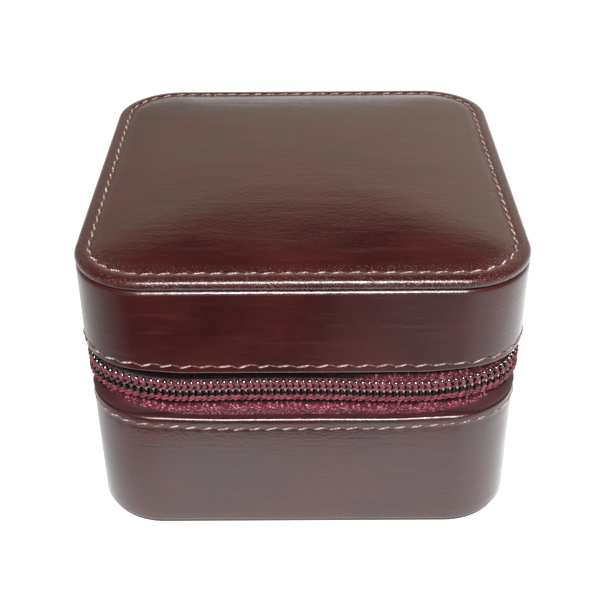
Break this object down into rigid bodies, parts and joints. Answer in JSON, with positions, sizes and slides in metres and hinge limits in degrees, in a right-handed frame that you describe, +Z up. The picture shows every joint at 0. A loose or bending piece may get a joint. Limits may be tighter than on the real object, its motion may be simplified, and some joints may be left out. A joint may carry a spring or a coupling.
{
  "type": "leather jewellery case",
  "caption": "Zip-around leather jewellery case with a padded hinged lid, a coil zip with slider and pull, lined wells and ring rolls.",
  "frame": {"origin": "on the table, under the middle of the base", "axes": "+Z up, -Y towards the front with the zip, +Y towards the hinge, +X towards the side with the slider"},
  "size_m": [0.0991, 0.101, 0.0688],
  "materials": {
    "leather": "polished burgundy leather with fine grain",
    "board": "plain grey pressed board",
    "foam": "soft foam",
    "lining": "short-napped burgundy lining cloth",
    "ring_roll": "short-napped velvet over foam",
    "thread": "twisted sewing thread",
    "zip_tape": "woven twill tape",
    "zip_coil": "bright dark-grey coil",
    "zip_metal": "nickel-plated metal"
  },
  "bodies": {
    "base": {"base_bottom_leather": "leather", "base_floor_board": "board", "base_wall_board": "board", "base_wall_leather": "leather", "base_wall_lining": "lining", "base_floor_lining": "lining", "base_stitching": "thread", "front_divider": "lining", "rear_divider": "lining", "cross_divider": "lining", "ring_roll_front": "ring_roll", "ring_roll_middle": "ring_roll", "ring_roll_rear": "ring_roll", "zip_tape_lower": "zip_tape", "zip_coil_lower": "zip_coil", "zip_stops_lower": "zip_metal", "hinge_gusset_lower": "leather"},
    "lid": {"lid_wall_leather": "leather", "lid_wall_board": "board", "lid_roof_board": "board", "lid_wall_lining": "lining", "lid_ceiling_lining": "lining", "lid_wall_stitching": "thread", "lid_top_board": "board", "lid_top_pad": "foam", "lid_top_leather": "leather", "lid_top_stitching": "thread", "zip_tape_upper": "zip_tape", "zip_coil_upper": "zip_coil", "zip_stops_upper": "zip_metal", "hinge_gusset_upper": "leather"},
    "slider": {"slider_body": "zip_metal", "slider_bail": "zip_metal"},
    "pull": {"zip_pull": "zip_metal"}
  },
  "joints": [
    {"name": "lid_hinge", "type": "hinge", "parent": "base", "child": "lid", "pos_m": [0, 0.0471, 0.03675], "axis": [-1, 0, 0], "range_deg": [0, 115]},
    {"name": "slider_run", "type": "slide", "parent": "base", "child": "slider", "axis": [0, -1, 0], "range_m": [0, 0.042]},
    {"name": "pull_turn", "type": "hinge", "parent": "slider", "child": "pull", "pos_m": [0.04905, 0.023, 0.0378], "axis": [0, 0, -1], "range_deg": [0, 180]}
  ]
}
